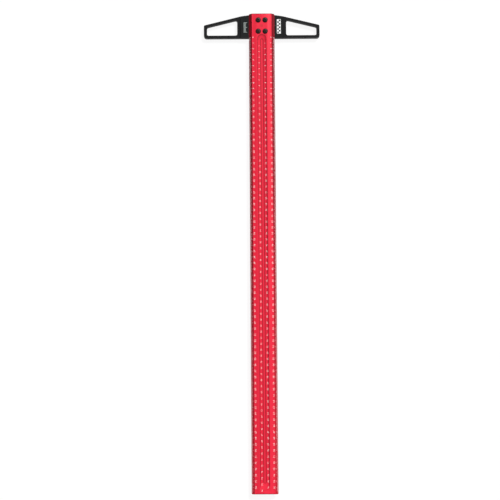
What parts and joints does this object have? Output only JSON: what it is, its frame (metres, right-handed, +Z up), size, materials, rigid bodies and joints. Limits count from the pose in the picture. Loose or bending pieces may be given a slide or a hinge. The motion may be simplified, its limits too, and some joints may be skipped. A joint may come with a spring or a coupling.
{
  "type": "t square",
  "caption": "Fixed-head T square: red bevelled aluminium blade with a round-ended channel, screwed across a black head with two windowed wings.",
  "frame": {"origin": "the tool's measuring point: middle of the blade's width, on the head's working edge, at the level of the blade's underside", "axes": "+X along the head, +Y from the blade's free end towards the head, +Z up out of the graduated face"},
  "size_m": [0.199, 0.8131, 0.0144],
  "materials": {
    "blade_red": "satin red anodised, with fine lengthwise extrusion grain",
    "head_black": "fine-textured moulded black",
    "saddle_black": "smooth satin black",
    "pin_red": "satin red anodised",
    "screw_black": "black oxide, semi-gloss",
    "insert_brass": "turned",
    "scale_white": "printed white marking ink"
  },
  "bodies": {
    "root": {"blade": "blade_red", "head_frame": "head_black", "blade_saddle": "saddle_black", "locating_pin": "pin_red", "screw_back_left": "screw_black", "screw_back_right": "screw_black", "screw_front_left": "screw_black", "screw_front_right": "screw_black", "insert_back_left": "insert_brass", "insert_back_right": "insert_brass", "insert_front_left": "insert_brass", "insert_front_right": "insert_brass"}
  },
  "joints": []
}
